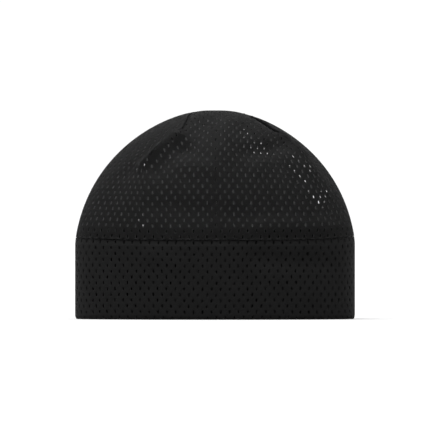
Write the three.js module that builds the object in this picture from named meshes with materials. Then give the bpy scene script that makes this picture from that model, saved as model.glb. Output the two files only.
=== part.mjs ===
// A cut-and-sewn mesh beanie, standing open on its rim: a one-piece domed crown shaped by four darts and a
// back seam, on a deep band of the same cloth folded double. Millimetres, +Z up, the front faces -Y.
import * as THREE from "three";

// Driving dimensions
const rimWidth = 226; // outside the band, side to side
const rimDepth = 142; // outside the band, front to back
const hatHeight = 168;
const bandHeight = 64; // from the rim to the crown seam, at the centre front
const seamRiseRight = 2.8; // how much the crown seam climbs towards the right side
const seamRiseLeft = 1.8;
const clothThickness = 1.2;
const bandLayerGap = 0.8; // between the two layers of the folded band
const seamStep = 0.5; // the crown starts this far inside the band's face
const pieceGap = 0.3; // clearance between neighbouring pieces
const crownLean = 8; // how far back of the rim's middle the top of the crown sits
const restWidth = 1.2; // the flat that the folded rim rests on

// Raw edges turned in along the seams, two layers of cloth each
const allowanceGap = 0.8; // from the crown's inside
const seamAllowanceHeight = 8.5;
const dartAllowanceWidth = 8; // next to the top of the crown
const dartAllowanceTip = 2.5; // at the dart's lower end
const dartAllowanceStart = 15; // from where the seams meet
const backAllowanceWidth = 6; // half to each side
const dartGrooveDepth = 1.2;
const dartGrooveReach = 3;

// How finely the cloth is faceted
const columns = 84;
const crownRows = 19;
const bandRows = 4;
const allowanceRows = 8;

// The crown's outline from the seam to the top, as two handles of a curve. Widths and depths are shares of
// the rim's, and heights are shares of the crown's.
const outline = {
  tuck: { width: 0.89, depth: 0.97, height: 0.758 },
  shoulder: { width: 0.252, depth: 0.55, height: 1.043 },
};

// The seams over the top of the crown, from where they all meet, seen from above. Across is a share of half
// the rim's width, and back a share of half its depth. Turned says to which side the raw edges are pressed.
const seamsMeet = { across: 0, back: 0.4 };
const darts = [
  {
    name: "dart_allowance_front_left",
    turned: 1,
    route: [{ across: -0.17, back: 0.05 }, { across: -0.25, back: -0.43 }, { across: -0.471, back: -0.61 }],
  },
  {
    name: "dart_allowance_front_right",
    turned: -1,
    route: [{ across: 0.24, back: 0.11 }, { across: 0.45, back: -0.17 }, { across: 0.607, back: -0.354 }],
  },
  {
    name: "dart_allowance_back_right",
    turned: -1,
    route: [{ across: 0.24, back: 0.55 }, { across: 0.44, back: 0.68 }],
  },
  {
    name: "dart_allowance_back_left",
    turned: 1,
    route: [{ across: -0.24, back: 0.55 }, { across: -0.44, back: 0.68 }],
  },
];

// Folds and dents of the cloth, on the front or the back of the hat, as lines seen from the front. Each end is
// given as a share of half the rim's width across, and a share of the hat's height up. Reach, how far the fold
// spreads to each side, and rise, how far it stands out or, below zero, sinks in, are shares of that height.
const folds = [
  { on: "front", from: [-0.27, 0.89], to: [-0.52, 0.745], reach: 0.034, rise: 0.023 },
  { on: "front", from: [-0.09, 0.945], to: [-0.21, 0.83], reach: 0.045, rise: -0.022 },
  { on: "front", from: [-0.21, 0.83], to: [-0.42, 0.715], reach: 0.04, rise: -0.012 },
  { on: "front", from: [0.08, 0.94], to: [0, 0.76], reach: 0.055, rise: 0.012 },
  { on: "front", from: [-0.22, 0.745], to: [0, 0.71], reach: 0.04, rise: 0.01 },
  { on: "front", from: [0.5, 0.85], to: [0.25, 0.8], reach: 0.045, rise: -0.02 },
  { on: "front", from: [0.49, 0.885], to: [0.61, 0.81], reach: 0.034, rise: 0.011 },
  { on: "front", from: [0.61, 0.81], to: [0.79, 0.64], reach: 0.045, rise: 0.01 },
  { on: "front", from: [-0.62, 0.73], to: [-0.78, 0.55], reach: 0.06, rise: -0.007 },
  { on: "front", from: [-0.42, 0.54], to: [0.3, 0.505], reach: 0.055, rise: -0.017 },
  { on: "front", from: [0.3, 0.45], to: [0.8, 0.46], reach: 0.04, rise: 0.015 },
  { on: "front", from: [0.32, 0.295], to: [0.8, 0.275], reach: 0.042, rise: -0.017 },
  { on: "front", from: [-0.47, 0.31], to: [-0.26, 0.27], reach: 0.05, rise: 0.006 },
  { on: "back", from: [-0.36, 0.84], to: [-0.55, 0.68], reach: 0.045, rise: 0.009 },
  { on: "back", from: [0.38, 0.83], to: [0.6, 0.64], reach: 0.045, rise: 0.009 },
  { on: "back", from: [-0.5, 0.5], to: [0.3, 0.53], reach: 0.06, rise: -0.009 },
  { on: "back", from: [0.3, 0.28], to: [0.6, 0.24], reach: 0.05, rise: -0.007 },
];

const halfWidth = rimWidth / 2;
const halfDepth = rimDepth / 2;
const crownHeight = hatHeight - bandHeight;
const bandThickness = 2 * clothThickness + bandLayerGap;
const allowanceThickness = 2 * clothThickness;
const fullTurn = 2 * Math.PI;
const mix = THREE.MathUtils.lerp;

// The crown's outline curves: x is the share of the width or depth left at the height share y.
function outlineCurve(key) {
  const { tuck, shoulder } = outline;
  return new THREE.CubicBezierCurve(
    new THREE.Vector2(1, 0),
    new THREE.Vector2(tuck[key], tuck.height),
    new THREE.Vector2(shoulder[key], shoulder.height),
    new THREE.Vector2(0, 1),
  );
}
const widthCurve = outlineCurve("width");
const depthCurve = outlineCurve("depth");

// Height of the crown seam. The turn runs from 0 at the centre front, by the right side.
function seamHeight(turn) {
  const sideways = Math.sin(turn);
  const rise = sideways > 0 ? seamRiseRight : seamRiseLeft;
  return bandHeight + rise * sideways ** 4;
}

// The crown without its folds, at a turn, and a climb from 0 at the seam to 1 at the top.
function smoothCrown(turn, climb) {
  const { x: widthShare, y: heightShare } = widthCurve.getPoint(climb);
  const depthShare = depthCurve.getPoint(climb).x;
  const start = seamHeight(turn) + pieceGap / 2;
  return new THREE.Vector3(
    (halfWidth - seamStep) * widthShare * Math.sin(turn),
    crownLean * heightShare ** 2 - (halfDepth - seamStep) * depthShare * Math.cos(turn),
    mix(start, hatHeight, heightShare),
  );
}

// The band without its folds, at a turn and a height in millimetres.
function smoothBand(turn, height) {
  return new THREE.Vector3(halfWidth * Math.sin(turn), -halfDepth * Math.cos(turn), height);
}

// The way out of a surface at a turn and a climb or height.
function outward(surface, turn, along, step) {
  const small = 1e-3;
  const sideways = surface(turn + small, along).sub(surface(turn - small, along));
  const upwards = surface(turn, along + step).sub(surface(turn, along - step));
  return sideways.cross(upwards).normalize();
}

// Halves the span from 0 to 1 down to where the test stops holding.
function lastWhere(holds) {
  let low = 0;
  let high = 1;
  for (let i = 0; i < 30; i++) {
    const middle = (low + high) / 2;
    if (holds(middle)) low = middle;
    else high = middle;
  }
  return low;
}

// The crown's turn and climb at a point seen from above.
function crownFromAbove(x, y) {
  const shares = (climb) => {
    const { x: widthShare, y: heightShare } = widthCurve.getPoint(climb);
    const across = x / (halfWidth * widthShare);
    const back = (y - crownLean * heightShare ** 2) / (halfDepth * depthCurve.getPoint(climb).x);
    return { across, back };
  };
  const climb = lastWhere((tried) => Math.hypot(shares(tried).across, shares(tried).back) < 1);
  const { across, back } = shares(climb);
  return { turn: Math.atan2(across, -back), climb };
}

// The point of the smooth hat behind these shares of the front view.
function hatFromFront(across, up, on) {
  const height = up * hatHeight;
  const turnFor = (widthShare) => {
    const turn = Math.asin(THREE.MathUtils.clamp(across / widthShare, -1, 1));
    return on === "front" ? turn : Math.PI - turn;
  };
  if (height <= bandHeight) return smoothBand(turnFor(1), height);
  const turnAt = (climb) => turnFor(widthCurve.getPoint(climb).x);
  const climb = lastWhere((tried) => smoothCrown(turnAt(tried), tried).z < height);
  return smoothCrown(turnAt(climb), climb);
}

// Fold lines laid on the smooth hat, as short chains of straight pieces.
const foldLines = folds.map(({ on, from, to, reach, rise }) => {
  const points = [0, 0.25, 0.5, 0.75, 1].map((share) => {
    return hatFromFront(mix(from[0], to[0], share), mix(from[1], to[1], share), on);
  });
  return { points, reach: reach * hatHeight, rise: rise * hatHeight };
});

// Dart routes as smooth curves seen from above, in millimetres, and laid on the smooth crown.
const dartRoutes = darts.map(({ route }) => {
  const stops = [seamsMeet, ...route];
  return new THREE.SplineCurve(
    stops.map(({ across, back }) => new THREE.Vector2(across * halfWidth, back * halfDepth)),
  );
});
function layOnCrown({ x, y }) {
  const { turn, climb } = crownFromAbove(x, y);
  return smoothCrown(turn, climb);
}
const dartLines = dartRoutes.map((route) => route.getPoints(12).map(layOnCrown));

function distanceToLine(point, line) {
  const nearest = new THREE.Vector3();
  let distance = Infinity;
  let share = 0;
  for (let i = 0; i + 1 < line.length; i++) {
    const piece = new THREE.Line3(line[i], line[i + 1]);
    const along = piece.closestPointToPointParameter(point, true);
    const reached = piece.at(along, nearest).distanceTo(point);
    if (reached < distance) {
      distance = reached;
      share = (i + along) / (line.length - 1);
    }
  }
  return { distance, share };
}

const bell = (share) => Math.exp(-(share ** 2));

// How far the folds lift the cloth out of its smooth shape.
function foldRise(point) {
  let rise = 0;
  for (const fold of foldLines) {
    rise += fold.rise * bell(distanceToLine(point, fold.points).distance / fold.reach);
  }
  return rise;
}

// How far the darts pull the cloth in: most where they meet, and nothing at their lower ends.
function dartPull(point) {
  let pull = 0;
  for (const line of dartLines) {
    const { distance, share } = distanceToLine(point, line);
    pull = Math.max(pull, dartGrooveDepth * Math.sqrt(1 - share) * bell(distance / dartGrooveReach));
  }
  return pull;
}

// A point of the crown's cloth, an inset in from its outer face.
function crownCloth(turn, climb, inset) {
  const step = 1e-3;
  const point = smoothCrown(turn, climb);
  const atTop = climb > 1 - 2 * step;
  const out = atTop ? new THREE.Vector3(0, 0, 1) : outward(smoothCrown, turn, Math.max(climb, step), step);
  return point.addScaledVector(out, foldRise(point) - dartPull(point) - inset);
}

// The climb at which an inset point of the crown's cloth is level with the crown's lower edge.
function lowestClimb(turn, inset) {
  const edge = seamHeight(turn) + pieceGap / 2;
  return lastWhere((climb) => crownCloth(turn, climb, inset).z < edge);
}

// A point of the band's cloth. Its folds fade out towards the rim, which rests flat.
function bandCloth(turn, height, inset) {
  const point = smoothBand(turn, height);
  const out = outward(smoothBand, turn, height, 1);
  const free = THREE.MathUtils.smoothstep(height, 0, bandHeight / 2);
  return point.addScaledVector(out, free * foldRise(point) - inset);
}

// The columns stand closest together at the front.
function columnTurn(column) {
  const even = (fullTurn * (column % columns)) / columns;
  return even - 0.2 * Math.sin(even) - 0.1 * Math.sin(2 * even);
}

// Wraps rows of a closed or capped wall round the hat. place() puts a row's point at a turn.
function wrapRound(rows, place) {
  const profile = rows.map((row, i) => new THREE.Vector2(1, i));
  const geometry = new THREE.LatheGeometry(profile, columns);
  const position = geometry.getAttribute("position");
  for (let i = 0; i < position.count; i++) {
    const { x, y, z } = place(columnTurn(Math.floor(i / rows.length)), rows[i % rows.length]);
    position.setXYZ(i, x, y, z);
  }
  geometry.computeVertexNormals();
  return geometry;
}

// Rows of one face of a wall, at an inset, between two shares of the way up.
function faceRows(count, from, to, inset, base = 0) {
  const rows = [];
  for (let i = 0; i <= count; i++) rows.push({ share: mix(from, to, i / count), inset, base });
  return rows;
}

// The crown: a domed wall, open below.
function crownGeometry() {
  const rows = [...faceRows(crownRows, 1, 0, clothThickness), ...faceRows(crownRows, 0, 1, 0)];
  return wrapRound(rows, (turn, { share, inset }) => {
    return crownCloth(turn, mix(lowestClimb(turn, inset), 1, share), inset);
  });
}

// The band: two layers joined by the fold that it rests on, and open at the crown seam.
function bandGeometry() {
  const corner = (bandThickness - restWidth) / 2;
  const bevel = corner * (1 - Math.SQRT1_2);
  const innerLayer = bandThickness - clothThickness;
  const rows = [
    { share: 0, inset: bevel, base: bevel },
    ...faceRows(bandRows, 0, 1, 0, corner),
    ...faceRows(bandRows, 1, 0, clothThickness, clothThickness),
    ...faceRows(bandRows, 0, 1, innerLayer, clothThickness),
    ...faceRows(bandRows, 1, 0, bandThickness, corner),
    { share: 0, inset: bandThickness - bevel, base: bevel },
    { share: 0, inset: bandThickness - corner, base: 0 },
    { share: 0, inset: corner, base: 0 },
    { share: 0, inset: bevel, base: bevel },
  ];
  return wrapRound(rows, (turn, { share, inset, base }) => {
    const top = seamHeight(turn) - pieceGap / 2;
    return bandCloth(turn, mix(base, top, share), inset);
  });
}

// The raw edges of the crown seam, turned up against the inside of the crown.
function seamAllowanceGeometry() {
  const outer = clothThickness + allowanceGap;
  const inner = outer + allowanceThickness;
  const reach = lastWhere((climb) => crownHeight * widthCurve.getPoint(climb).y < seamAllowanceHeight);
  const rows = [...faceRows(2, 1, 0, inner), ...faceRows(2, 0, 1, outer), { share: 1, inset: inner }];
  return wrapRound(rows, (turn, { share, inset }) => {
    return crownCloth(turn, mix(lowestClimb(turn, inset), reach, share), inset);
  });
}

// A strip of raw edges laid against the inside of the crown. locate() gives the crown's turn and climb at the
// strip's shares along and across.
function stripGeometry(locate) {
  const geometry = new THREE.BoxGeometry(1, 1, 1, allowanceRows, 2, 1);
  const position = geometry.getAttribute("position");
  for (let i = 0; i < position.count; i++) {
    const { turn, climb } = locate(position.getX(i) + 0.5, position.getY(i) + 0.5);
    const inset = clothThickness + allowanceGap + allowanceThickness * (0.5 - position.getZ(i));
    const { x, y, z } = crownCloth(turn, climb, inset);
    position.setXYZ(i, x, y, z);
  }
  return geometry;
}

// A dart's raw edges, pressed to one side of its seam and running out to its tip.
function dartAllowanceGeometry(index) {
  const route = dartRoutes[index];
  const { turned } = darts[index];
  const start = dartAllowanceStart / route.getLength();
  return stripGeometry((along, across) => {
    const share = mix(start, 0.97, along);
    const flat = route.getPoint(share);
    const place = crownFromAbove(flat.x, flat.y);
    const onward = layOnCrown(route.getPoint(share + 0.01)).sub(layOnCrown(route.getPoint(share - 0.01)));
    const sideways = outward(smoothCrown, place.turn, place.climb, 1e-3).cross(onward).normalize();
    const width = mix(dartAllowanceWidth, dartAllowanceTip, along);
    const moved = layOnCrown(flat).addScaledVector(sideways, width * (turned > 0 ? across : across - 1));
    return crownFromAbove(moved.x, moved.y);
  });
}

// The back seam's raw edges, pressed open, from near the top down to just above the crown seam's own.
function backAllowanceGeometry() {
  const top = crownFromAbove(0, seamsMeet.back * halfDepth + dartAllowanceStart).climb;
  const bottom = lastWhere(
    (climb) => crownHeight * widthCurve.getPoint(climb).y < seamAllowanceHeight + allowanceThickness,
  );
  return stripGeometry((along, across) => {
    const climb = mix(top, bottom, along);
    const radius = halfWidth * widthCurve.getPoint(climb).x;
    const turn = Math.PI + Math.asin((backAllowanceWidth * (across - 0.5)) / radius);
    return { turn, climb };
  });
}

function piece(name, geometry, material) {
  const mesh = new THREE.Mesh(geometry, material);
  mesh.name = name;
  return mesh;
}

const meshCloth = () => new THREE.MeshStandardMaterial({ color: 0x1c1c1c, roughness: 0.62, metalness: 0 });
const seamCloth = () => new THREE.MeshStandardMaterial({ color: 0x141414, roughness: 0.75, metalness: 0 });

const hat = new THREE.Group();
hat.add(piece("crown", crownGeometry(), meshCloth()));
hat.add(piece("band", bandGeometry(), meshCloth()));
hat.add(piece("crown_seam_allowance", seamAllowanceGeometry(), seamCloth()));
darts.forEach(({ name }, index) => hat.add(piece(name, dartAllowanceGeometry(index), seamCloth())));
hat.add(piece("back_seam_allowance", backAllowanceGeometry(), seamCloth()));

export default hat;
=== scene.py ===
import math
import random

import bmesh
import bpy
import numpy as np
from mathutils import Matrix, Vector


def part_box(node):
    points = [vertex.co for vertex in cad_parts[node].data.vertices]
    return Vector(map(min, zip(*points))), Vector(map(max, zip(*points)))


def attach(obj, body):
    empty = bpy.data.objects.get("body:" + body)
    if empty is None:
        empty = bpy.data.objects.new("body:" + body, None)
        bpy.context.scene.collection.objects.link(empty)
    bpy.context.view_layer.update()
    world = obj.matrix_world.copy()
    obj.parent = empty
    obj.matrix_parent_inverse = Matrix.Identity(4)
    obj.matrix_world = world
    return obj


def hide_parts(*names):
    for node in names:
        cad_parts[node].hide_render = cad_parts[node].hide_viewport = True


MM = 0.001
random.seed(7)

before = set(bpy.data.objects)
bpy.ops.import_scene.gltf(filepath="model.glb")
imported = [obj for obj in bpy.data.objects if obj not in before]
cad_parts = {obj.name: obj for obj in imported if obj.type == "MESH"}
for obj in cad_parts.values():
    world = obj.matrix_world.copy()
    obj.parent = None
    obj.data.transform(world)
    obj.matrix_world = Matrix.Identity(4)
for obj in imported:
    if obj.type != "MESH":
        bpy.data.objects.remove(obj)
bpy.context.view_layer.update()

# The camera: level, a long way off, and set so that the hat fills the frame as it does in the photograph
IMAGE_SIDE = 430  # pixels
HAT_PIXELS = 280  # how wide the hat is in the photograph
RIM_ROW = 319  # the row of the photograph that its rim stands on
CAMERA_DISTANCE = 9.5
band_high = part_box("band")[1]
pixel = 2 * band_high.x / HAT_PIXELS
camera_data = bpy.data.cameras.new("camera")
camera_data.sensor_width = 36
camera_data.lens = camera_data.sensor_width * CAMERA_DISTANCE / (IMAGE_SIDE * pixel)
camera_data.clip_end = 200
camera = bpy.data.objects.new("camera", camera_data)
camera.location = (0, -CAMERA_DISTANCE, (RIM_ROW - IMAGE_SIDE / 2) * pixel)
camera.rotation_euler = (math.radians(90), 0, 0)
bpy.context.scene.collection.objects.link(camera)
bpy.context.scene.camera = camera

# Sizes read from the solids
crown_low, crown_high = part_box("crown")
RIM_HALF_WIDTH = band_high.x
RIM_HALF_DEPTH = band_high.y
SEAM_HEIGHT = crown_low.z  # at the centre front

# Sizes that the solids have too
SEAM_RISE_RIGHT = 2.8 * MM  # how much higher the crown seam is at the right side
SEAM_RISE_LEFT = 1.8 * MM
SEAM_STEP = 0.5 * MM  # the crown starts this far inside the band's face
CROWN_LEAN = 8 * MM  # how far back its top is
BAND_THICKNESS = 3.2 * MM  # both layers and the space between them
ALLOWANCE_INSET = 2.0 * MM  # from the crown's outer face to the raw edges inside it

# The mesh cloth
COLUMNS = 76  # of holes, round the hat
SIDE_STRETCH = 0.15  # how much further apart the columns are at the sides
LEAN_IN = 0.42 * MM  # how much nearer the centre the front's columns are, and further from it the back's
CROWN_ROWS = 39
CROWN_ROW = 4.58 * MM
BAND_ROWS = 28  # 14 on each layer
CLOTH_SHIFT = 0.84 * MM  # of the columns from the centre front
CLOTH_THICKNESS = 0.75 * MM
HOLE_WIDTH = 0.78 * MM
HOLE_HEIGHT = 3.35 * MM
HOLE_WIDTHS = (0.7, 1.24)  # the narrowest and the widest, in shares of the width
HOLE_HEIGHTS = (0.8, 1.1)
HOLE_SHOULDER = 0.24  # how far above its middle a hole is widest, as a share of its height
HOLE_SHIFT = 0.18 * MM  # how far a hole may be from its place
HOLE_LEAN = 0.07  # sideways for each length up, in waves round the hat
HOLE_LEAN_WAVE = 31 * MM
HOLE_LEAN_START = 0.7
HOLE_LEAN_SPREAD = 0.09
BRICK_INSET = 0.8 * MM  # from the middles of the strands to the first outline of a hole
WANDER = 0.32 * MM  # how far the rows and columns wander
WANDER_STARTS = 8 * MM  # from the cloth's edges, where they don't
COLUMN_WANDER = dict(wave=13 * MM, drift=2.2, drift_wave=29 * MM)
ROW_WANDER = dict(wave=17 * MM, drift=1.7, drift_wave=21 * MM)

# Seams: how deep their grooves are and how far these reach, and how their cut edges are turned in
BAND_TUCK = 1.2 * MM  # how far in the band's top edge lies under the crown's, except at the sides
BAND_TUCK_REACH = 3 * MM
DART_GROOVE = 1.0 * MM
DART_REACH = 3 * MM
SIDE_GROOVE = 0.2 * MM  # beside the front's darts, where the sides' cloth folds over the front's cloth
SIDE_LIP = 0.8 * MM  # how far it folds over
FRONT_DIP_REACH = 7 * MM
FRONT_DIP_STARTS = (0.32, 0.45)  # shares of a front dart's route between which the front's cloth sinks
TURN_IN = 2.0 * MM  # how far a cut edge is turned in at the crown's seam
DART_TURN_IN = 3.0 * MM  # and at the darts and the crown's back seam
BAND_BACK_TURN_IN = 0.8 * MM
BAND_TOP_TURN_IN = 1.7 * MM
SEAM_GAP = 0.45 * MM  # between the two turned edges of a dart or a back seam
CROWN_SEAM_GAP = 0.36 * MM  # and of the crown seam
BACK_SEAM_GROOVE = 0.7 * MM
BACK_SEAM_REACH = 2.2 * MM

# The raw edges inside the seams, and their thread
PLY_THICKNESS = 0.9 * MM
PLY_GAP = 0.2 * MM  # between two plies, and between them and the thread
PLY_RUFFLES = (0.2 * MM, 0.3 * MM)  # of the free edge of the outer and the inner ply
ALLOWANCE_HEIGHT = 8.5 * MM  # of the crown seam's raw edges
RING_START = -0.004  # where they start, as a climb on the crown
RING_FACES = (222, 4)  # round and up
RING_RUFFLES = 37
DART_ALLOWANCE_WIDTH = 8 * MM  # next to the top of the crown
DART_ALLOWANCE_TIP = 2.5 * MM
DART_ALLOWANCE_START = 15 * MM  # from where the seams meet
DART_ALLOWANCE_END = 0.97  # as a share of the dart's route
DART_ALLOWANCE_LAP = 1.5 * MM  # how far it lies past the dart's seam
DART_FACE = 3 * MM
DART_RUFFLE = 21 * MM
STRIP_ROWS = 3
BACK_ALLOWANCE_WIDTH = 6 * MM
BACK_ALLOWANCE_LAP = 0.3 * MM  # how far each raw edge lies past the middle
BACK_ALLOWANCE_CLEARANCE = 2.4 * MM  # above the crown seam's raw edges
BACK_ALLOWANCE_LENGTH = 105 * MM
BACK_FACES = 34
BACK_RUFFLES = 5
BACK_RUFFLE = 0.6 * MM
BACK_WRAP = 3.8 * MM  # how wide the thread takes one raw edge to be
OVERLOCK_WIDTH = 3.2 * MM
STITCH = 2.6 * MM
STITCH_STEPS = 8
THREAD_RADIUS = 0.2 * MM

# The crown's outline: handles of a curve from the seam to the top, in shares of its width, depth and height.
WIDTH_CURVE = (1, 0.89, 0.252, 0)
DEPTH_CURVE = (1, 0.97, 0.55, 0)
HEIGHT_CURVE = (0, 0.758, 1.043, 1)

# The darts: routes from where the seams meet, seen from above, in shares of half the rim's width and depth.
# Foot is the column of the cloth, counted from the centre front, that leads up to the dart's tip. Fades holds
# the shares of the route between which the dart's groove fades out, and dip how much further down the front's
# cloth lies beside it than the sides' cloth. Turned is the side that its raw edges are pressed to.
SEAMS_MEET = (0, 0.4)
DARTS = {
    "front_left": dict(
        foot=-8,
        dip=0.9 * MM,
        fades=(0.62, 0.74),
        turned=1,
        route=((-0.17, 0.05), (-0.25, -0.43), (-0.471, -0.61)),
    ),
    "front_right": dict(
        foot=12,
        dip=3.0 * MM,
        fades=(0.62, 0.76),
        turned=-1,
        route=((0.24, 0.11), (0.45, -0.17), (0.607, -0.354)),
    ),
    "back_right": dict(foot=29, dip=0, fades=(0, 1), turned=-1, route=((0.24, 0.55), (0.44, 0.68))),
    "back_left": dict(foot=-31, dip=0, fades=(0, 1), turned=1, route=((-0.24, 0.55), (-0.44, 0.68))),
}

# On which side of the front's darts the front gore lies, looking from top to tip: 1 is the left
FRONT_SIDE = {"front_left": 1, "front_right": -1}

# The gores between the darts and the back seam, from the back round by the left side. Their columns run up
# in planes across x or across y, from one side of the hat: -1 is its front or left, and 1 its back or right.
GORES = (
    dict(planes="x", side=1, darts=(None, "back_left")),
    dict(planes="y", side=-1, darts=("back_left", "front_left")),
    dict(planes="x", side=-1, darts=("front_left", "front_right")),
    dict(planes="y", side=1, darts=("front_right", "back_right")),
    dict(planes="x", side=1, darts=("back_right", None)),
)

# Folds and dents of the cloth, as lines seen from the front. Start and end are shares of half the rim's width
# across and of the hat's height up. Reach, how far the fold spreads, and rise, how far it stands out or sinks
# in, are shares of that height.
FRONT, BACK = -1, 1
FOLDS = (
    dict(side=FRONT, start=(-0.27, 0.885), end=(-0.54, 0.735), reach=0.026, rise=0.03),
    dict(side=FRONT, start=(-0.4, 0.87), end=(-0.64, 0.7), reach=0.035, rise=-0.008),
    dict(side=FRONT, start=(-0.09, 0.945), end=(-0.21, 0.83), reach=0.045, rise=-0.022),
    dict(side=FRONT, start=(-0.21, 0.83), end=(-0.42, 0.715), reach=0.04, rise=-0.012),
    dict(side=FRONT, start=(0.08, 0.94), end=(0, 0.76), reach=0.055, rise=0.012),
    dict(side=FRONT, start=(-0.22, 0.745), end=(0, 0.71), reach=0.04, rise=0.01),
    dict(side=FRONT, start=(0.5, 0.85), end=(0.25, 0.8), reach=0.045, rise=-0.02),
    dict(side=FRONT, start=(0.43, 0.8), end=(0.6, 0.67), reach=0.05, rise=-0.011),
    dict(side=FRONT, start=(0.49, 0.885), end=(0.61, 0.81), reach=0.034, rise=0.011),
    dict(side=FRONT, start=(0.61, 0.81), end=(0.79, 0.64), reach=0.045, rise=0.01),
    dict(side=FRONT, start=(-0.62, 0.73), end=(-0.78, 0.55), reach=0.06, rise=-0.007),
    dict(side=FRONT, start=(-0.42, 0.54), end=(0.3, 0.505), reach=0.055, rise=-0.014),
    dict(side=FRONT, start=(0.3, 0.455), end=(0.8, 0.465), reach=0.036, rise=0.013),
    dict(side=FRONT, start=(0.32, 0.295), end=(0.8, 0.275), reach=0.042, rise=-0.017),
    dict(side=FRONT, start=(-0.47, 0.31), end=(-0.26, 0.27), reach=0.05, rise=0.006),
    dict(side=BACK, start=(-0.36, 0.84), end=(-0.55, 0.68), reach=0.045, rise=0.009),
    dict(side=BACK, start=(0.38, 0.83), end=(0.6, 0.64), reach=0.045, rise=0.009),
    dict(side=BACK, start=(-0.5, 0.5), end=(0.3, 0.53), reach=0.06, rise=-0.009),
    dict(side=BACK, start=(0.3, 0.28), end=(0.6, 0.24), reach=0.05, rise=-0.007),
)

CROWN_HALF_WIDTH = RIM_HALF_WIDTH - SEAM_STEP
CROWN_HALF_DEPTH = RIM_HALF_DEPTH - SEAM_STEP


def curve(handles, t):
    a, b, c, d = handles
    return (1 - t) ** 3 * a + 3 * (1 - t) ** 2 * t * b + 3 * (1 - t) * t**2 * c + t**3 * d


def mix(a, b, share):
    return a + (b - a) * share


CREST = curve(HEIGHT_CURVE, np.linspace(0, 1, 1001)).max()
TOP_HEIGHT = SEAM_HEIGHT + (crown_high.z - SEAM_HEIGHT) / CREST


def seam_height(turn):
    """Height of the crown seam. The turn runs from 0 at the centre front, by the right side."""
    sideways = np.sin(turn)
    return SEAM_HEIGHT + np.where(sideways > 0, SEAM_RISE_RIGHT, SEAM_RISE_LEFT) * sideways**4


def smooth_crown(turn, climb):
    """The crown without its folds, at a turn, and a climb from 0 at the seam to 1 at the top."""
    height_share = curve(HEIGHT_CURVE, climb)
    x = CROWN_HALF_WIDTH * curve(WIDTH_CURVE, climb) * np.sin(turn)
    y = CROWN_LEAN * height_share**2 - CROWN_HALF_DEPTH * curve(DEPTH_CURVE, climb) * np.cos(turn)
    z = mix(seam_height(turn), TOP_HEIGHT, height_share)
    return np.stack([x, y, z], axis=-1)


def smooth_band(turn, height):
    """The band's outer face without its folds."""
    turn, height = np.broadcast_arrays(turn, height)
    return np.stack([RIM_HALF_WIDTH * np.sin(turn), -RIM_HALF_DEPTH * np.cos(turn), height], axis=-1)


def unit(vectors):
    return vectors / np.linalg.norm(vectors, axis=-1, keepdims=True)


def outward(surface, turn, along, step):
    """The way out of a surface."""
    small = 1e-4
    sideways = surface(turn + small, along) - surface(turn - small, along)
    upwards = surface(turn, along + step) - surface(turn, along - step)
    return unit(np.cross(sideways, upwards))


def crown_outward(turn, climb):
    """The way out of the crown. At the very top, where all turns meet, it is taken a little below."""
    near_top = 0.998
    return outward(smooth_crown, turn, np.clip(climb, 1e-3, near_top), 1e-4)


def last_where(holds, shape):
    """Halves the span from 0 to 1 down to where a test stops holding, for each of many points."""
    low, high = np.zeros(shape), np.ones(shape)
    for _ in range(30):
        middle = (low + high) / 2
        ok = holds(middle)
        low, high = np.where(ok, middle, low), np.where(ok, high, middle)
    return low


def crown_from_above(x, y):
    """The crown's turn and climb at points seen from above."""

    def shares(climb):
        across = x / (CROWN_HALF_WIDTH * curve(WIDTH_CURVE, climb))
        back = y - CROWN_LEAN * curve(HEIGHT_CURVE, climb) ** 2
        return across, back / (CROWN_HALF_DEPTH * curve(DEPTH_CURVE, climb))

    climb = last_where(lambda tried: np.hypot(*shares(tried)) < 1, np.shape(x))
    across, back = shares(climb)
    return np.arctan2(across, -back), climb


def hat_from_front(across, up, side):
    """The point of the smooth hat behind shares of the front view, on the hat's front or back."""
    across, up = np.asarray(across, float), np.asarray(up, float)
    height = up * TOP_HEIGHT

    def turn_for(width_share):
        turn = np.arcsin(np.clip(across / width_share, -1, 1))
        return turn if side == FRONT else math.pi - turn

    def crown_turn(climb):
        return turn_for(np.maximum(curve(WIDTH_CURVE, climb), 1e-6))

    climb = last_where(lambda tried: smooth_crown(crown_turn(tried), tried)[..., 2] < height, height.shape)
    on_crown = smooth_crown(crown_turn(climb), climb)
    on_band = smooth_band(turn_for(1), height)
    return np.where((height > SEAM_HEIGHT)[..., None], on_crown, on_band)


def distance_to_line(points, line):
    """Distance of each point to a chain of straight pieces, and the share of the chain's length there."""
    least = np.full(len(points), np.inf)
    share = np.zeros(len(points))
    for i, (a, b) in enumerate(zip(line[:-1], line[1:])):
        ab = b - a
        along = np.clip(((points - a) @ ab) / (ab @ ab), 0, 1)
        distance = np.linalg.norm(points - a - along[:, None] * ab, axis=-1)
        nearer = distance < least
        least = np.where(nearer, distance, least)
        share = np.where(nearer, (i + along) / (len(line) - 1), share)
    return least, share


def side_of_line(points, line):
    """Distance of points to a chain seen from above, which runs on at its ends. On its left, it is above 0."""
    reach = 0.1
    start = line[0] - reach * unit(line[1] - line[0])
    end = line[-1] + reach * unit(line[-1] - line[-2])
    chain = np.vstack([start, line, end])
    least = np.full(len(points), np.inf)
    signed = np.zeros(len(points))
    for a, b in zip(chain[:-1], chain[1:]):
        ab = b - a
        off = points - a
        along = np.clip((off @ ab) / (ab @ ab), 0, 1)
        distance = np.linalg.norm(off - along[:, None] * ab, axis=-1)
        side = np.where(ab[0] * off[:, 1] - ab[1] * off[:, 0] > 0, 1, -1)
        nearer = distance < least - 1e-9
        least = np.where(nearer, distance, least)
        signed = np.where(nearer, side * distance, signed)
    return signed


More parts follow.
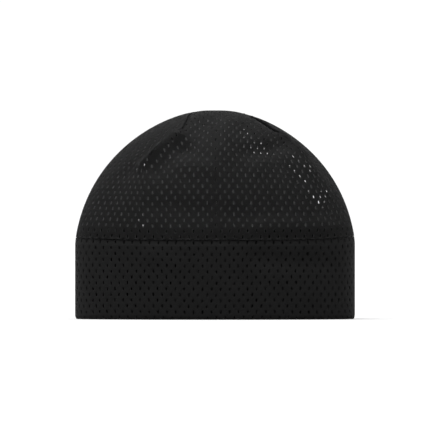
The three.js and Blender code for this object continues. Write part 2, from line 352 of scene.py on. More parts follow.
def fold_lines():
    """The folds' lines on the smooth hat, with their reach and rise in metres."""
    steps = np.linspace(0, 1, 5)
    lines = []
    for fold in FOLDS:
        across, up = (mix(fold["start"][axis], fold["end"][axis], steps) for axis in (0, 1))
        line = hat_from_front(across, up, fold["side"])
        lines.append((line, fold["reach"] * TOP_HEIGHT, fold["rise"] * TOP_HEIGHT))
    return lines


def smooth_route(stops, steps=24):
    """A smooth curve through a few stops, by Catmull and Rom's rule."""
    stops = [np.array(stop, float) for stop in stops]
    padded = [2 * stops[0] - stops[1], *stops, 2 * stops[-1] - stops[-2]]
    points = []
    for a, b, c, d in zip(padded, padded[1:], padded[2:], padded[3:]):
        square = 2 * a - 5 * b + 4 * c - d
        cube = 3 * b - a - 3 * c + d
        for t in np.linspace(0, 1, steps, endpoint=False):
            points.append(0.5 * (2 * b + (c - a) * t + square * t**2 + cube * t**3))
    return np.array([*points, stops[-1]])


def lay_on_crown(flat):
    turn, climb = crown_from_above(flat[:, 0], flat[:, 1])
    return smooth_crown(turn, climb)


RIM_HALF = np.array([RIM_HALF_WIDTH, RIM_HALF_DEPTH])
fold_chains = fold_lines()
for dart in DARTS.values():
    dart["flat"] = smooth_route([SEAMS_MEET, *dart["route"]]) * RIM_HALF
    dart["line"] = lay_on_crown(dart["flat"])


def smoothstep(value, low, high):
    share = np.clip((value - low) / (high - low), 0, 1)
    return share**2 * (3 - 2 * share)


def bell(share):
    return np.exp(-(share**2))


def fold_rise(points):
    """How far the folds lift the cloth."""
    rise = np.zeros(len(points))
    for line, reach, height in fold_chains:
        rise += height * bell(distance_to_line(points, line)[0] / reach)
    return rise


def seam_pull(points, folded_over):
    """How far the seams pull the cloth in. Folded over marks edges of the sides that lie on the front."""
    behind = points[:, 1] > 0
    pull = np.where(behind, BACK_SEAM_GROOVE * bell(points[:, 0] / BACK_SEAM_REACH), 0)
    below_meeting = points[:, 1] > SEAMS_MEET[1] * RIM_HALF_DEPTH
    pull = np.where(below_meeting, pull, 0)
    for name, dart in DARTS.items():
        distance, share = distance_to_line(points, dart["line"])
        strength = 1 - smoothstep(share, *dart["fades"])
        groove = DART_GROOVE * bell(distance / DART_REACH)
        if name in FRONT_SIDE:
            on_front = FRONT_SIDE[name] * side_of_line(points[:, :2], dart["flat"]) > 0
            side_groove = SIDE_GROOVE * bell(distance / DART_REACH)
            dip = dart["dip"] * smoothstep(share, *FRONT_DIP_STARTS) * bell(distance / FRONT_DIP_REACH)
            groove = np.where(on_front & ~folded_over, groove + dip, side_groove)
        pull = np.maximum(pull, strength * groove)
    return pull


def crown_cloth(turn, climb, inset, folded_over=False):
    """Points of the crown's cloth, an inset in from its outer face."""
    points = smooth_crown(turn, climb)
    lift = fold_rise(points) - seam_pull(points, np.full(len(points), folded_over)) - inset
    return points + crown_outward(turn, climb) * lift[:, None]


def band_cloth(turn, height, inset):
    """Points of the band's cloth. Its folds fade out towards the rim, which rests flat."""
    points = smooth_band(turn, height)
    free = smoothstep(height, 0, SEAM_HEIGHT / 2)
    tuck = SEAM_STEP + BAND_TUCK * (1 - np.sin(turn) ** 16)
    tuck = tuck * bell((seam_height(turn) - height) / BAND_TUCK_REACH)
    lift = free * fold_rise(points) - seam_pull(points, np.full(len(points), False)) - tuck - inset
    return points + outward(smooth_band, turn, height, 1 * MM) * lift[:, None]


# The spacing of the columns round the hat, as a table of the turn at each length of cloth from the front
turn_table = np.linspace(-math.pi, math.pi, 4001)
stretched = np.hypot(RIM_HALF_WIDTH * np.cos(turn_table), RIM_HALF_DEPTH * np.sin(turn_table))
stretched /= 1 + SIDE_STRETCH * np.sin(turn_table) ** 2
cloth_table = np.concatenate([[0], np.cumsum((stretched[1:] + stretched[:-1]) / 2 * np.diff(turn_table))])
cloth_table -= cloth_table[-1] / 2
cloth_table += LEAN_IN * np.sign(turn_table) * np.abs(np.sin(2 * turn_table))
GIRTH = cloth_table[-1] * 2
COLUMN = GIRTH / COLUMNS


def turn_at(u):
    """The turn at a length of cloth from the front. The cloth sits a little round from the seams."""
    inside = np.abs(u) < GIRTH / 2 - 1e-6
    return np.interp(u + np.where(inside, CLOTH_SHIFT, 0), cloth_table, turn_table)


def grid_lookup(table, rows, columns, row, column):
    """Reads a table between its rows and columns."""
    i = np.clip((row - rows[0]) / (rows[1] - rows[0]), 0, len(rows) - 1.001)
    j = np.clip((column - columns[0]) / (columns[1] - columns[0]), 0, len(columns) - 1.001)
    i0, j0 = i.astype(int), j.astype(int)
    di, dj = i - i0, j - j0
    low = mix(table[i0, j0], table[i0, j0 + 1], dj)
    high = mix(table[i0 + 1, j0], table[i0 + 1, j0 + 1], dj)
    return mix(low, high, di)


class Gore:
    """One gore of the crown: where the flat cloth's length u and height v lie on the crown."""

    def __init__(self, planes, side, darts):
        self.planes, self.side, self.darts = planes, side, darts
        self.profile = WIDTH_CURVE if planes == "x" else DEPTH_CURVE
        self.offsets = np.linspace(-0.99, 0.99, 199)
        self.swings = np.linspace(0, math.pi, 361)
        self.lengths = np.linspace(0, 0.24, 241)
        self.peaks = last_where(lambda t: curve(self.profile, t) > np.abs(self.offsets), self.offsets.shape)
        turn, climb = self.place(self.offsets[:, None], self.swings[None, :], self.peaks[:, None])
        path = smooth_crown(turn, climb)
        steps = np.linalg.norm(np.diff(path, axis=1), axis=-1)
        self.arcs = np.concatenate([np.zeros((len(steps), 1)), np.cumsum(steps, axis=1)], axis=1)
        self.swing_at = np.array([np.interp(self.lengths, arc, self.swings) for arc in self.arcs])
        self.edges = [dart and self.edge(DARTS[dart]) for dart in darts]

    def place(self, offset, swing, peak):
        """Turn and climb on the plane at an offset. Swing runs from 0 at its near seam to pi at the far one."""
        climb = peak * np.sin(swing)
        share = np.clip(offset / np.maximum(curve(self.profile, climb), 1e-9), -1, 1)
        rest = np.sqrt(1 - share**2) * np.where(np.cos(swing) >= 0, 1, -1)
        if self.planes == "x":
            turn = np.arctan2(share, -self.side * rest)
        else:
            turn = np.arctan2(self.side * rest, -share)
        return turn, climb

    def offset_of(self, turn, climb):
        """The offset of the plane that a turn and climb lie on."""
        if self.planes == "x":
            return curve(WIDTH_CURVE, climb) * np.sin(turn)
        return -curve(DEPTH_CURVE, climb) * np.cos(turn)

    def edge(self, dart):
        """The gore's edge from the dart's foot on the seam up to its tip."""
        foot = turn_at(dart["foot"] * COLUMN)
        tip_turn, tip_climb = crown_from_above(dart["flat"][-1:, 0], dart["flat"][-1:, 1])
        climb = np.linspace(0, tip_climb[0], 60)
        turn = mix(foot, tip_turn[0], climb / tip_climb[0])
        path = smooth_crown(turn, climb)
        height = np.concatenate([[0], np.cumsum(np.linalg.norm(np.diff(path, axis=0), axis=-1))])
        offset = self.offset_of(turn, climb)
        peak = np.interp(offset, self.offsets, self.peaks)
        swing = np.arcsin(np.clip(climb / peak, 0, 1))
        arc = grid_lookup(self.arcs, self.offsets, self.swings, offset, swing)
        return dict(foot=offset[0], height=height, offset=offset, surplus=arc - height)

    def drape(self, u, v):
        """Turn and climb of points of the flat cloth, eased in between the darts below their tips."""
        start = self.offset_of(turn_at(u), 0)
        offset, height = start.copy(), v.copy()
        for edge in filter(None, self.edges):
            share = np.clip(start / edge["foot"], 0, 1.2)
            ease = np.interp(v, edge["height"], edge["offset"]) - edge["foot"]
            offset += ease * share**1.5
            height += np.interp(v, edge["height"], edge["surplus"]) * share**2
        swing = grid_lookup(self.swing_at, self.offsets, self.lengths, offset, height)
        return self.place(offset, swing, np.interp(offset, self.offsets, self.peaks))

    def inside(self, u, v, points):
        """How far points lie inside the gore's darts, and the number of the nearest dart."""
        room = np.full(len(u), 1.0)
        nearest = np.full(len(u), -1)
        for dart, edge, sign in zip(self.darts, self.edges, (1, -1)):
            if not dart:
                continue
            distance = sign * side_of_line(points[:, :2], DARTS[dart]["flat"])
            distance = np.where(v > edge["height"][-1], distance, 1.0)
            closer = distance < room
            room = np.where(closer, distance, room)
            nearest = np.where(closer, list(DARTS).index(dart), nearest)
        return room, nearest


def flat_points(bm):
    return np.array([vert.co for vert in bm.verts], float).reshape(-1, 3)


def wander(along, across, wave, drift, drift_wave):
    return math.sin(along / wave + drift * math.sin(across / drift_wave))


def mesh_lattice(rows, row_height):
    """Flat mesh cloth for the whole girth: a brick pattern of faces with a slender hole in each."""
    bm = bmesh.new()
    bmesh.ops.create_grid(bm, x_segments=2 * COLUMNS, y_segments=rows, size=1)
    for vert in bm.verts:
        vert.co.x *= GIRTH / 2
        vert.co.y = (vert.co.y + 1) / 2 * rows * row_height

    def step_of(x):
        return round((x + GIRTH / 2) / (COLUMN / 2))

    middles = []
    for edge in bm.edges:
        a, b = (vert.co for vert in edge.verts)
        row = math.floor((a.y + b.y) / 2 / row_height)
        if step_of(a.x) == step_of(b.x) and (step_of(a.x) + row) % 2 == 0 and len(edge.link_faces) == 2:
            middles.append(edge)
    bmesh.ops.dissolve_edges(bm, edges=middles)
    bricks = [face for face in bm.faces if len(face.verts) == 6]
    bmesh.ops.inset_individual(bm, faces=bricks, thickness=BRICK_INSET)
    for brick in bricks:
        shape_hole(brick)
    bmesh.ops.delete(bm, geom=bricks, context="FACES_ONLY")
    for vert in bm.verts:
        u, v = vert.co.xy
        room = min(v, rows * row_height - v, GIRTH / 2 - abs(u))
        free = WANDER * min(1, max(0, room) / WANDER_STARTS)
        vert.co.x += free * wander(v, u, **COLUMN_WANDER)
        vert.co.y += free * wander(u, v, **ROW_WANDER)
    return bm


def shape_hole(brick):
    """Draws the corners of a brick's hole into a slender eye, each a little different as in knitted cloth."""
    centre = brick.calc_center_bounds()
    lean = HOLE_LEAN * math.sin(centre.x / HOLE_LEAN_WAVE + HOLE_LEAN_START)
    lean += random.uniform(-HOLE_LEAN_SPREAD, HOLE_LEAN_SPREAD)
    shift = random.uniform(-1, 1) * HOLE_SHIFT
    wide = HOLE_WIDTH * random.uniform(*HOLE_WIDTHS)
    tall = HOLE_HEIGHT * random.uniform(*HOLE_HEIGHTS)
    for vert in brick.verts:
        across, up = vert.co.x - centre.x, vert.co.y - centre.y
        in_middle = abs(across) < COLUMN / 8
        height = math.copysign(tall * (0.5 if in_middle else HOLE_SHOULDER), up)
        width = 0 if in_middle else math.copysign(wide / 2, across)
        vert.co.x = centre.x + shift + width + height * lean
        vert.co.y = centre.y + height


# Names of the values that the vertices and edges carry while the cloth is made
FLAT = "flat_place"
OUT = "way_out"
TO_SEAM = "to_seam"
CREASE = "crease_edge"


def keep_flat_place(bm):
    """Notes each vertex's place on the flat cloth, in metres, which later becomes the piece's UV map."""
    layer = bm.verts.layers.float_vector.new(FLAT)
    for vert in bm.verts:
        vert[layer] = vert.co


def lay(bm, places, ways_out, to_seams):
    """Moves the flat cloth's vertices to their places, and notes their ways out of the hat and to the seam."""
    out_layer = bm.verts.layers.float_vector.new(OUT)
    seam_layer = bm.verts.layers.float_vector.new(TO_SEAM)
    bm.edges.layers.float.new(CREASE)
    for vert, place, way_out, to_seam in zip(bm.verts, places - to_seams, ways_out, to_seams):
        vert.co = place
        vert[out_layer] = way_out
        vert[seam_layer] = to_seam


def turn_in(bm, edges, depth, rise=0.0):
    """Extrudes edges behind the cloth by a depth, up by a rise and to their seam. Returns the new edges."""
    crease = bm.edges.layers.float[CREASE]
    for edge in edges:
        edge[crease] = 1
    made = bmesh.ops.extrude_edge_only(bm, edges=edges)["geom"]
    way_out, to_seam = (bm.verts.layers.float_vector[name] for name in (OUT, TO_SEAM))
    for vert in made:
        if isinstance(vert, bmesh.types.BMVert):
            vert.co += vert[to_seam] - vert[way_out] * depth
            vert.co.z += rise
    return [edge for edge in made if isinstance(edge, bmesh.types.BMEdge) and edge.is_boundary]


def new_object(name, mesh):
    piece = bpy.data.objects.new(name, mesh)
    bpy.context.scene.collection.objects.link(piece)
    return piece


def thickened(bm, thickness):
    """The cage given its thickness on its inner side, and smoothed once, as a mesh."""
    mesh = bpy.data.meshes.new("cage")
    bm.to_mesh(mesh)
    bm.free()
    cage = new_object("cage", mesh)
    solid = cage.modifiers.new("thickness", "SOLIDIFY")
    solid.thickness = thickness
    solid.offset = -1
    solid.use_even_offset = False
    smooth = cage.modifiers.new("smooth", "SUBSURF")
    smooth.levels = smooth.render_levels = 1
    graph = bpy.context.evaluated_depsgraph_get()
    result = bpy.data.meshes.new_from_object(cage.evaluated_get(graph))
    bpy.data.objects.remove(cage)
    return result


def part_of(mesh, name, belongs):
    """The faces of a mesh whose mean flat place passes a test, as a piece of their own, with their UV map."""
    bm = bmesh.new()
    bm.from_mesh(mesh)
    layer = bm.verts.layers.float_vector[FLAT]
    others = []
    for face in bm.faces:
        place = sum((vert[layer] for vert in face.verts), Vector()) / len(face.verts)
        if not belongs(place):
            others.append(face)
    bmesh.ops.delete(bm, geom=others, context="FACES")
    uv = bm.loops.layers.uv.new("cloth")
    for face in bm.faces:
        face.smooth = True
        for loop in face.loops:
            loop[uv].uv = loop.vert[layer].xy
    bm.verts.layers.float_vector.remove(layer)
    piece_mesh = bpy.data.meshes.new(name)
    bm.to_mesh(piece_mesh)
    bm.free()
    piece = new_object(name, piece_mesh)
    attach(piece, "root")
    return piece


gores = [Gore(**row) for row in GORES]
feet = np.array([DARTS[gore.darts[1]]["foot"] for gore in gores[:-1]]) * COLUMN


def drape_crown(flat):
    """Turn, climb, room inside the seams and nearest dart of each flat point."""
    u, v = flat[:, 0], np.maximum(flat[:, 1], 0)
    turn, climb = np.zeros(len(u)), np.zeros(len(u))
    room, nearest = np.ones(len(u)), np.full(len(u), -1)
    zone = np.searchsorted(feet, u)
    for number, gore in enumerate(gores):
        mine = zone == number
        turn[mine], climb[mine] = gore.drape(u[mine], v[mine])
        points = smooth_crown(turn[mine], climb[mine])
        room[mine], nearest[mine] = gore.inside(u[mine], v[mine], points)
    return turn, climb, room, nearest


def trim_to_darts(bm):
    """Cuts the flat cloth along the darts. Returns the layer that numbers the new edges' points by dart."""
    snap = 0.9 * MM
    border = bm.verts.layers.int.new("dart")
    bm.verts.ensure_lookup_table()
    _, _, room, nearest = drape_crown(flat_points(bm))
    for vert, near_room, dart in zip(bm.verts, room, nearest):
        if abs(near_room) < snap:
            room[vert.index] = 0
            vert[border] = dart + 1
    cuts = []
    for edge in bm.edges:
        a, b = edge.verts
        if room[a.index] * room[b.index] < 0:
            cuts.append((edge, a, room[a.index] / (room[a.index] - room[b.index]), nearest[a.index]))
    gone = [vert for vert in bm.verts if room[vert.index] < 0]
    for edge, vert, share, dart in cuts:
        made = bmesh.utils.edge_split(edge, vert, share)[1]
        made[border] = dart + 1
    bmesh.ops.connect_verts(bm, verts=[vert for vert in bm.verts if vert[border]])
    bmesh.ops.delete(bm, geom=gone, context="VERTS")
    return border


def crown_mesh():
    """The crown's cloth: draped, cut to the darts and the back seam, with its cut edges turned in."""
    bm = mesh_lattice(CROWN_ROWS, CROWN_ROW)
    border = trim_to_darts(bm)
    keep_flat_place(bm)
    flat = flat_points(bm)
    turn, climb, _, _ = drape_crown(flat)
    to_seams = np.zeros((len(flat), 3))
    folded_over = np.full(len(flat), False)
    for number, (name, dart) in enumerate(DARTS.items()):
        on_seam = np.array([vert[border] == number + 1 for vert in bm.verts])
        points = smooth_crown(turn[on_seam], climb[on_seam])
        share = distance_to_line(points, dart["line"])[1]
        spots = share * (len(dart["flat"]) - 1)
        steps = np.arange(len(dart["flat"]))
        x, y = (np.interp(spots, steps, dart["flat"][:, axis]) for axis in (0, 1))
        ahead_x, ahead_y = (np.interp(spots, steps, np.gradient(dart["flat"][:, axis])) for axis in (0, 1))
        side = np.sign(flat[on_seam, 0] - dart["foot"] * COLUMN)
        away = np.full(len(side), SEAM_GAP / 2)
        if name in FRONT_SIDE:
            over = side != FRONT_SIDE[name]
            away[over] = -SIDE_LIP
            folded_over[np.flatnonzero(on_seam)[over]] = True
        strength = 1 - smoothstep(share, *dart["fades"])
        step = side * away * strength / np.hypot(ahead_x, ahead_y)
        turn[on_seam], climb[on_seam] = crown_from_above(x - ahead_y * step, y + ahead_x * step)
        to_seams[on_seam, 0] = ahead_y * step
        to_seams[on_seam, 1] = -ahead_x * step
    places = crown_cloth(turn, climb, 0, folded_over) + to_seams
    at_back = np.abs(np.abs(flat[:, 0]) - GIRTH / 2) < 1e-6
    to_seams[:, 0] -= np.where(at_back, np.sign(flat[:, 0]) * SEAM_GAP / 2, 0)
    places[:, 2] += np.where(flat[:, 1] < 1e-6, CROWN_SEAM_GAP / 2, 0)
    lay(bm, places, crown_outward(turn, climb), to_seams)
    bm.verts.index_update()

    def at_seam(vert):
        return vert[border] > 0 or at_back[vert.index]

    def at_hem(vert):
        return abs(flat[vert.index][1]) < 1e-6

    bm.edges.ensure_lookup_table()
    seams = [edge for edge in bm.edges if edge.is_boundary and all(at_seam(vert) for vert in edge.verts)]
    hems = [edge for edge in bm.edges if edge.is_boundary and all(at_hem(vert) for vert in edge.verts)]
    turn_in(bm, seams, DART_TURN_IN)
    turned = turn_in(bm, hems, TURN_IN / 4)
    turn_in(bm, turned, TURN_IN / 2, rise=-CROWN_SEAM_GAP)
    return bm


def band_mesh():
    """The band's cloth, one length folded at the rim, inner layer first, and where its fold is up the cloth."""
    fold = BAND_THICKNESS / 2
    straight = SEAM_HEIGHT - fold
    length = 2 * straight + math.pi * fold
    bm = mesh_lattice(BAND_ROWS, length / BAND_ROWS)
    keep_flat_place(bm)
    flat = flat_points(bm)
    v = flat[:, 1]
    at_back = np.abs(np.abs(flat[:, 0]) - GIRTH / 2) < 1e-6
    # The inner layer's columns lie a quarter of a column round from the outer layer's
    skew = np.where(at_back, 0, smoothstep(-v, -0.6 * length, -0.4 * length) * COLUMN / 4)
    turn = turn_at(flat[:, 0] + skew)
    rise = seam_height(turn) - fold - CROWN_SEAM_GAP / 2
    swing = np.clip((v - straight) / (length - 2 * straight), 0, 1) * math.pi
    height = fold * (1 - np.sin(swing))
    height = np.where(v < straight, fold + (1 - v / straight) * rise, height)
    height = np.where(v > length - straight, fold + (v - length + straight) / straight * rise, height)
    places = band_cloth(turn, height, fold * (1 + np.cos(swing)))
    to_seams = np.zeros((len(flat), 3))
    to_seams[:, 0] -= np.where(at_back, np.sign(flat[:, 0]) * SEAM_GAP / 2, 0)
    ways_out = -np.cos(swing)[:, None] * outward(smooth_band, turn, height, 1 * MM)
    ways_out[:, 2] -= np.sin(swing)
    lay(bm, places, ways_out, to_seams)
    bm.verts.index_update()
    edges = [edge for edge in bm.edges if edge.is_boundary]
    tops = [edge for edge in edges if all(v[vert.index] > length - 1e-6 for vert in edge.verts)]
    backs = [edge for edge in edges if all(at_back[vert.index] for vert in edge.verts)]
    turn_in(bm, backs, BAND_BACK_TURN_IN)
    turn_in(bm, tops, BAND_TOP_TURN_IN)
    return bm, length / 2


crown_cloth_mesh = thickened(crown_mesh(), CLOTH_THICKNESS)
crown_front = part_of(crown_cloth_mesh, "crown_front", lambda place: abs(place.x) < GIRTH / 4)
crown_back = part_of(crown_cloth_mesh, "crown_back", lambda place: abs(place.x) >= GIRTH / 4)
bpy.data.meshes.remove(crown_cloth_mesh)

band_cage, fold_line = band_mesh()
band_cloth_mesh = thickened(band_cage, CLOTH_THICKNESS)
band_inner = part_of(band_cloth_mesh, "band_inner_layer", lambda place: place.y < fold_line)
band_outer = part_of(band_cloth_mesh, "band_outer_layer", lambda place: place.y >= fold_line)
bpy.data.meshes.remove(band_cloth_mesh)

for piece in (crown_front, crown_back):
    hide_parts("crown")
for piece in (band_inner, band_outer):
    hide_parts("band")


def strip_mesh(columns, rows, locate, plies):
    """Plies of plain cloth. Locate gives turn and climb at shares along and across, and plies the insets."""
    bm = bmesh.new()
    for inset in plies:
        made = bmesh.ops.create_grid(bm, x_segments=columns, y_segments=rows, size=0.5)["verts"]
        along, across = np.array([(vert.co.x + 0.5, vert.co.y + 0.5) for vert in made]).T
        turn, climb = locate(along, across)
        places = crown_cloth(turn, climb, inset(along, across))
        for vert, place in zip(made, places):
            vert.co = place
    return bm


def finished_strip(name, bm, node):
    """The plies of a seam's raw edges, thickened, standing for their CAD node."""
    bmesh.ops.recalc_face_normals(bm, faces=bm.faces)
    layer = bm.verts.layers.float_vector.new(FLAT)
    for vert in bm.verts:
        vert[layer] = (math.atan2(vert.co.x, -vert.co.y) * RIM_HALF_WIDTH, vert.co.z, 0)
    piece = part_of(thickened(bm, PLY_THICKNESS), name, lambda place: True)
    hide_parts(node)
    return piece


def thread_piece(name, points, cyclic=False):
    """A thread laid through points, as a mesh."""
    data = bpy.data.curves.new(name, "CURVE")
    data.dimensions = "3D"
    data.bevel_depth = THREAD_RADIUS
    data.bevel_resolution = 0
    spline = data.splines.new("POLY")
    spline.points.add(len(points) - 1)
    spline.points.foreach_set("co", np.hstack([points, np.ones((len(points), 1))]).ravel())
    spline.use_cyclic_u = cyclic
    laid = new_object("thread path", data)
    mesh = bpy.data.meshes.new_from_object(laid.evaluated_get(bpy.context.evaluated_depsgraph_get()))
    bpy.data.objects.remove(laid)
    for face in mesh.polygons:
        face.use_smooth = True
    piece = new_object(name, mesh)
    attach(piece, "root")
    return piece


def wrap_edge(locate, length, inner, outer, width, cyclic=False):
    """Points of an overlock thread that winds round a raw edge, where the share across is 1."""
    stitches = round(length / STITCH)
    swing = np.linspace(0, stitches * 2 * math.pi, stitches * STITCH_STEPS, endpoint=not cyclic)
    along = swing / (stitches * 2 * math.pi)
    across = 1 - OVERLOCK_WIDTH / width(along) * (0.46 - 0.54 * np.cos(swing))
    turn, climb = locate(along, across)
    middle, half = (outer + inner) / 2, (outer - inner) / 2 + THREAD_RADIUS * 0.8
    return crown_cloth(turn, climb, middle + half * np.sin(swing))


low_climbs = np.linspace(0, 0.3, 301)
low_heights = SEAM_HEIGHT + (TOP_HEIGHT - SEAM_HEIGHT) * curve(HEIGHT_CURVE, low_climbs)
ring_end = np.interp(SEAM_HEIGHT + ALLOWANCE_HEIGHT, low_heights, low_climbs)


def ring_locate(along, across):
    """Where the crown seam's raw edges lie: once round the hat, and up from the seam."""
    return along * 2 * math.pi - math.pi, mix(RING_START, ring_end, across)


def ruffle(start, waves, size):
    """Insets of a ply whose free edge waves a little."""
    return lambda along, across: start + size * across**2 * (1 + np.sin(along * waves * 2 * math.pi)) / 2


near = ALLOWANCE_INSET
far = near + PLY_THICKNESS + PLY_GAP
beyond = far + PLY_THICKNESS + PLY_GAP


def two_plies(waves):
    return ruffle(near, waves, PLY_RUFFLES[0]), ruffle(far, waves, PLY_RUFFLES[1])


ring_strip = strip_mesh(*RING_FACES, ring_locate, two_plies(RING_RUFFLES))
raw_edges = [finished_strip("crown_seam_raw_edges", ring_strip, "crown_seam_allowance")]
ring_points = wrap_edge(ring_locate, GIRTH, near, beyond, lambda along: ALLOWANCE_HEIGHT, cyclic=True)
threads = [thread_piece("crown_seam_overlock", ring_points, cyclic=True)]


def dart_allowance_width(along):
    return mix(DART_ALLOWANCE_WIDTH, DART_ALLOWANCE_TIP, along)


def dart_locate(dart):
    """Where a dart's raw edges lie, from its seam to the side they are pressed to, and their length."""
    flat = dart["flat"]
    steps = np.linspace(0, 1, len(flat))
    length = np.linalg.norm(np.diff(flat, axis=0), axis=-1).sum()
    start = DART_ALLOWANCE_START / length

    def at(share):
        point = np.stack([np.interp(share, steps, flat[:, axis]) for axis in (0, 1)], axis=-1)
        return point, crown_from_above(point[:, 0], point[:, 1])

    def locate(along, across):
        share = mix(start, DART_ALLOWANCE_END, along)
        point, place = at(share)
        onward = smooth_crown(*at(share + 0.01)[1]) - smooth_crown(*at(share - 0.01)[1])
        sideways = dart["turned"] * unit(np.cross(crown_outward(*place), onward))
        reach = mix(-DART_ALLOWANCE_LAP, dart_allowance_width(along), across)
        moved = smooth_crown(*place) + sideways * reach[:, None]
        return crown_from_above(moved[:, 0], moved[:, 1])

    return locate, length - DART_ALLOWANCE_START


def dart_wrap_width(along):
    return dart_allowance_width(along) + DART_ALLOWANCE_LAP


for name, dart in DARTS.items():
    locate, length = dart_locate(dart)
    strip = strip_mesh(round(length / DART_FACE), STRIP_ROWS, locate, two_plies(length / DART_RUFFLE))
    raw_edges.append(finished_strip("dart_raw_edges_" + name, strip, "dart_allowance_" + name))
    points = wrap_edge(locate, length, near, beyond, dart_wrap_width)
    threads.append(thread_piece("dart_overlock_" + name, points))

back_start = SEAMS_MEET[1] * RIM_HALF_DEPTH + DART_ALLOWANCE_START
back_top = crown_from_above(np.zeros(1), np.array([back_start]))[1][0]
back_low_height = SEAM_HEIGHT + ALLOWANCE_HEIGHT + BACK_ALLOWANCE_CLEARANCE
back_low = np.interp(back_low_height, low_heights, low_climbs)


def back_locate(side):
    """Where one of the back seam's two raw edges lies, pressed open to its side."""

    def locate(along, across):
        climb = mix(back_low, back_top, along)
        reach = mix(-BACK_ALLOWANCE_LAP, BACK_ALLOWANCE_WIDTH / 2, across)
        radius = CROWN_HALF_WIDTH * curve(WIDTH_CURVE, climb)
        return math.pi - side * np.arcsin(reach / radius), climb

    return locate


back_bm = bmesh.new()
for side, name in ((1, "right"), (-1, "left")):
    locate = back_locate(side)
    ply = strip_mesh(BACK_FACES, STRIP_ROWS, locate, [ruffle(near, BACK_RUFFLES, BACK_RUFFLE)])
    ply_mesh = bpy.data.meshes.new("ply")
    ply.to_mesh(ply_mesh)
    ply.free()
    back_bm.from_mesh(ply_mesh)
    past_ply = near + PLY_THICKNESS + 2 * PLY_GAP
    points = wrap_edge(locate, BACK_ALLOWANCE_LENGTH, near, past_ply, lambda along: BACK_WRAP)
    threads.append(thread_piece("back_seam_overlock_" + name, points))
raw_edges.append(finished_strip("back_seam_raw_edges", back_bm, "back_seam_allowance"))


# Materials
class Nodes:
    """A short way to build a node material."""

    def __init__(self, name):
        self.material = bpy.data.materials.new(name)
        self.material.use_nodes = True
        self.tree = self.material.node_tree
        self.shader = self.tree.nodes["Principled BSDF"]

    def add(self, kind, inputs=None, **settings):
        node = self.tree.nodes.new(kind)
        for key, value in settings.items():
            setattr(node, key, value)
        for key, value in (inputs or {}).items():
            self.feed(node, key, value)
        return node

    def feed(self, node, key, value):
        if isinstance(value, bpy.types.NodeSocket):
            self.tree.links.new(value, node.inputs[key])
        else:
            node.inputs[key].default_value = value


def cloth_material(name, dark, light, see_through):
    """Black knit, mottled between two greys, its loops a fine relief, which lets some of the light through."""
    nodes = Nodes(name)
    place = nodes.add("ShaderNodeUVMap", uv_map="cloth").outputs["UV"]
    patches = nodes.add("ShaderNodeTexNoise", {"Vector": place, "Scale": 60.0, "Detail": 3.0})
    colour = nodes.add("ShaderNodeMix", {"Factor": patches.outputs["Fac"]}, data_type="RGBA")
    colour.inputs["A"].default_value = (dark, dark, dark, 1)
    colour.inputs["B"].default_value = (light, light, light, 1)
    knit = nodes.add("ShaderNodeTexNoise", {"Vector": place, "Scale": 2600.0, "Detail": 2.0})
    loops = {"Height": knit.outputs["Fac"], "Strength": 0.4, "Distance": 0.1 * MM}
    relief = nodes.add("ShaderNodeBump", loops)
    nodes.feed(nodes.shader, "Base Color", colour.outputs["Result"])
    nodes.feed(nodes.shader, "Normal", relief.outputs["Normal"])
    nodes.feed(nodes.shader, "Roughness", 0.65)
    nodes.feed(nodes.shader, "Specular IOR Level", 0.03)
    glow = nodes.add("ShaderNodeBsdfTranslucent", {"Color": (1, 1, 1, 1)})
    thin = nodes.add("ShaderNodeMixShader", {"Fac": see_through})
    nodes.tree.links.new(nodes.shader.outputs["BSDF"], thin.inputs[1])
    nodes.tree.links.new(glow.outputs["BSDF"], thin.inputs[2])
    nodes.feed(nodes.tree.nodes["Material Output"], "Surface", thin.outputs["Shader"])
    return nodes.material


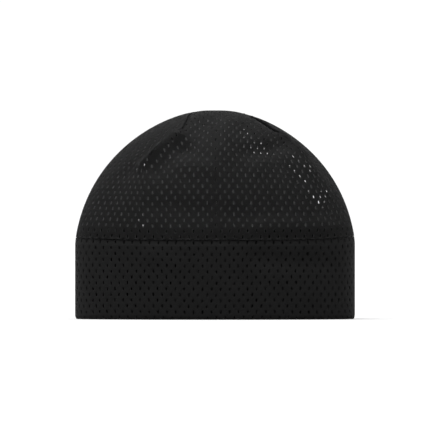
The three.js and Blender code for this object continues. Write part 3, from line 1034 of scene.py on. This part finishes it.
crown_material = cloth_material("crown mesh cloth", dark=0.0048, light=0.0082, see_through=0.18)
band_material = cloth_material("band mesh cloth", dark=0.0062, light=0.0094, see_through=0.05)
# The raw edges are the crown's own cloth, painted darker and letting no light through: painted shade for what
# shows through the holes in front of them
raw_edge_painted_shade_material = cloth_material("raw edge cloth, painted shade", dark=0.002, light=0.004, see_through=0.0)
open_material = cloth_material("single ply cloth", dark=0.0048, light=0.0082, see_through=0.7)
for piece in (crown_front, crown_back):
    piece.data.materials.append(crown_material)
for piece in (band_inner, band_outer):
    piece.data.materials.append(band_material)
# The crown seam's and the darts' raw edges take the darker cloth of painted shade; the back seam's single ply
# takes the crown's colours
for piece in raw_edges:
    single = piece.name == "back_seam_raw_edges"
    piece.data.materials.append(open_material if single else raw_edge_painted_shade_material)
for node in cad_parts.values():
    node.data.materials.clear()
    node.data.materials.append(crown_material)

thread_nodes = Nodes("black polyester thread")
fibre = thread_nodes.add("ShaderNodeTexCoord").outputs["Object"]
twist = thread_nodes.add("ShaderNodeTexNoise", {"Vector": fibre, "Scale": 3000.0})
strands = {"Height": twist.outputs["Fac"], "Strength": 0.3, "Distance": 0.1 * MM}
relief = thread_nodes.add("ShaderNodeBump", strands)
thread_nodes.feed(thread_nodes.shader, "Normal", relief.outputs["Normal"])
thread_nodes.feed(thread_nodes.shader, "Base Color", (0.012, 0.012, 0.012, 1))
thread_nodes.feed(thread_nodes.shader, "Roughness", 0.45)
thread_nodes.feed(thread_nodes.shader, "Specular IOR Level", 0.3)
for piece in threads:
    piece.data.materials.append(thread_nodes.material)

# The studio
FLOOR_HALF_SIDE = 40
scene = bpy.context.scene
floor_bm = bmesh.new()
bmesh.ops.create_grid(floor_bm, x_segments=1, y_segments=1, size=FLOOR_HALF_SIDE)
floor_mesh = bpy.data.meshes.new("floor")
floor_bm.to_mesh(floor_mesh)
floor_bm.free()
floor = new_object("floor", floor_mesh)
pale = Nodes("pale floor")
pale.feed(pale.shader, "Base Color", (0.45, 0.45, 0.45, 1))
pale.feed(pale.shader, "Roughness", 1.0)
pale.feed(pale.shader, "Specular IOR Level", 0.0)
floor.data.materials.append(pale.material)

world = bpy.data.worlds.new("studio")
world.use_nodes = True
background = world.node_tree.nodes["Background"]
background.inputs["Color"].default_value = (1, 1, 1, 1)
background.inputs["Strength"].default_value = 1.05
scene.world = world

lamp = bpy.data.lights.new("overhead", "SUN")
lamp.energy = 4.7
lamp.angle = math.radians(60)
sun = new_object("overhead", lamp)
sun.rotation_euler = (math.radians(4), math.radians(-11), 0)

scene.view_settings.view_transform = "Standard"
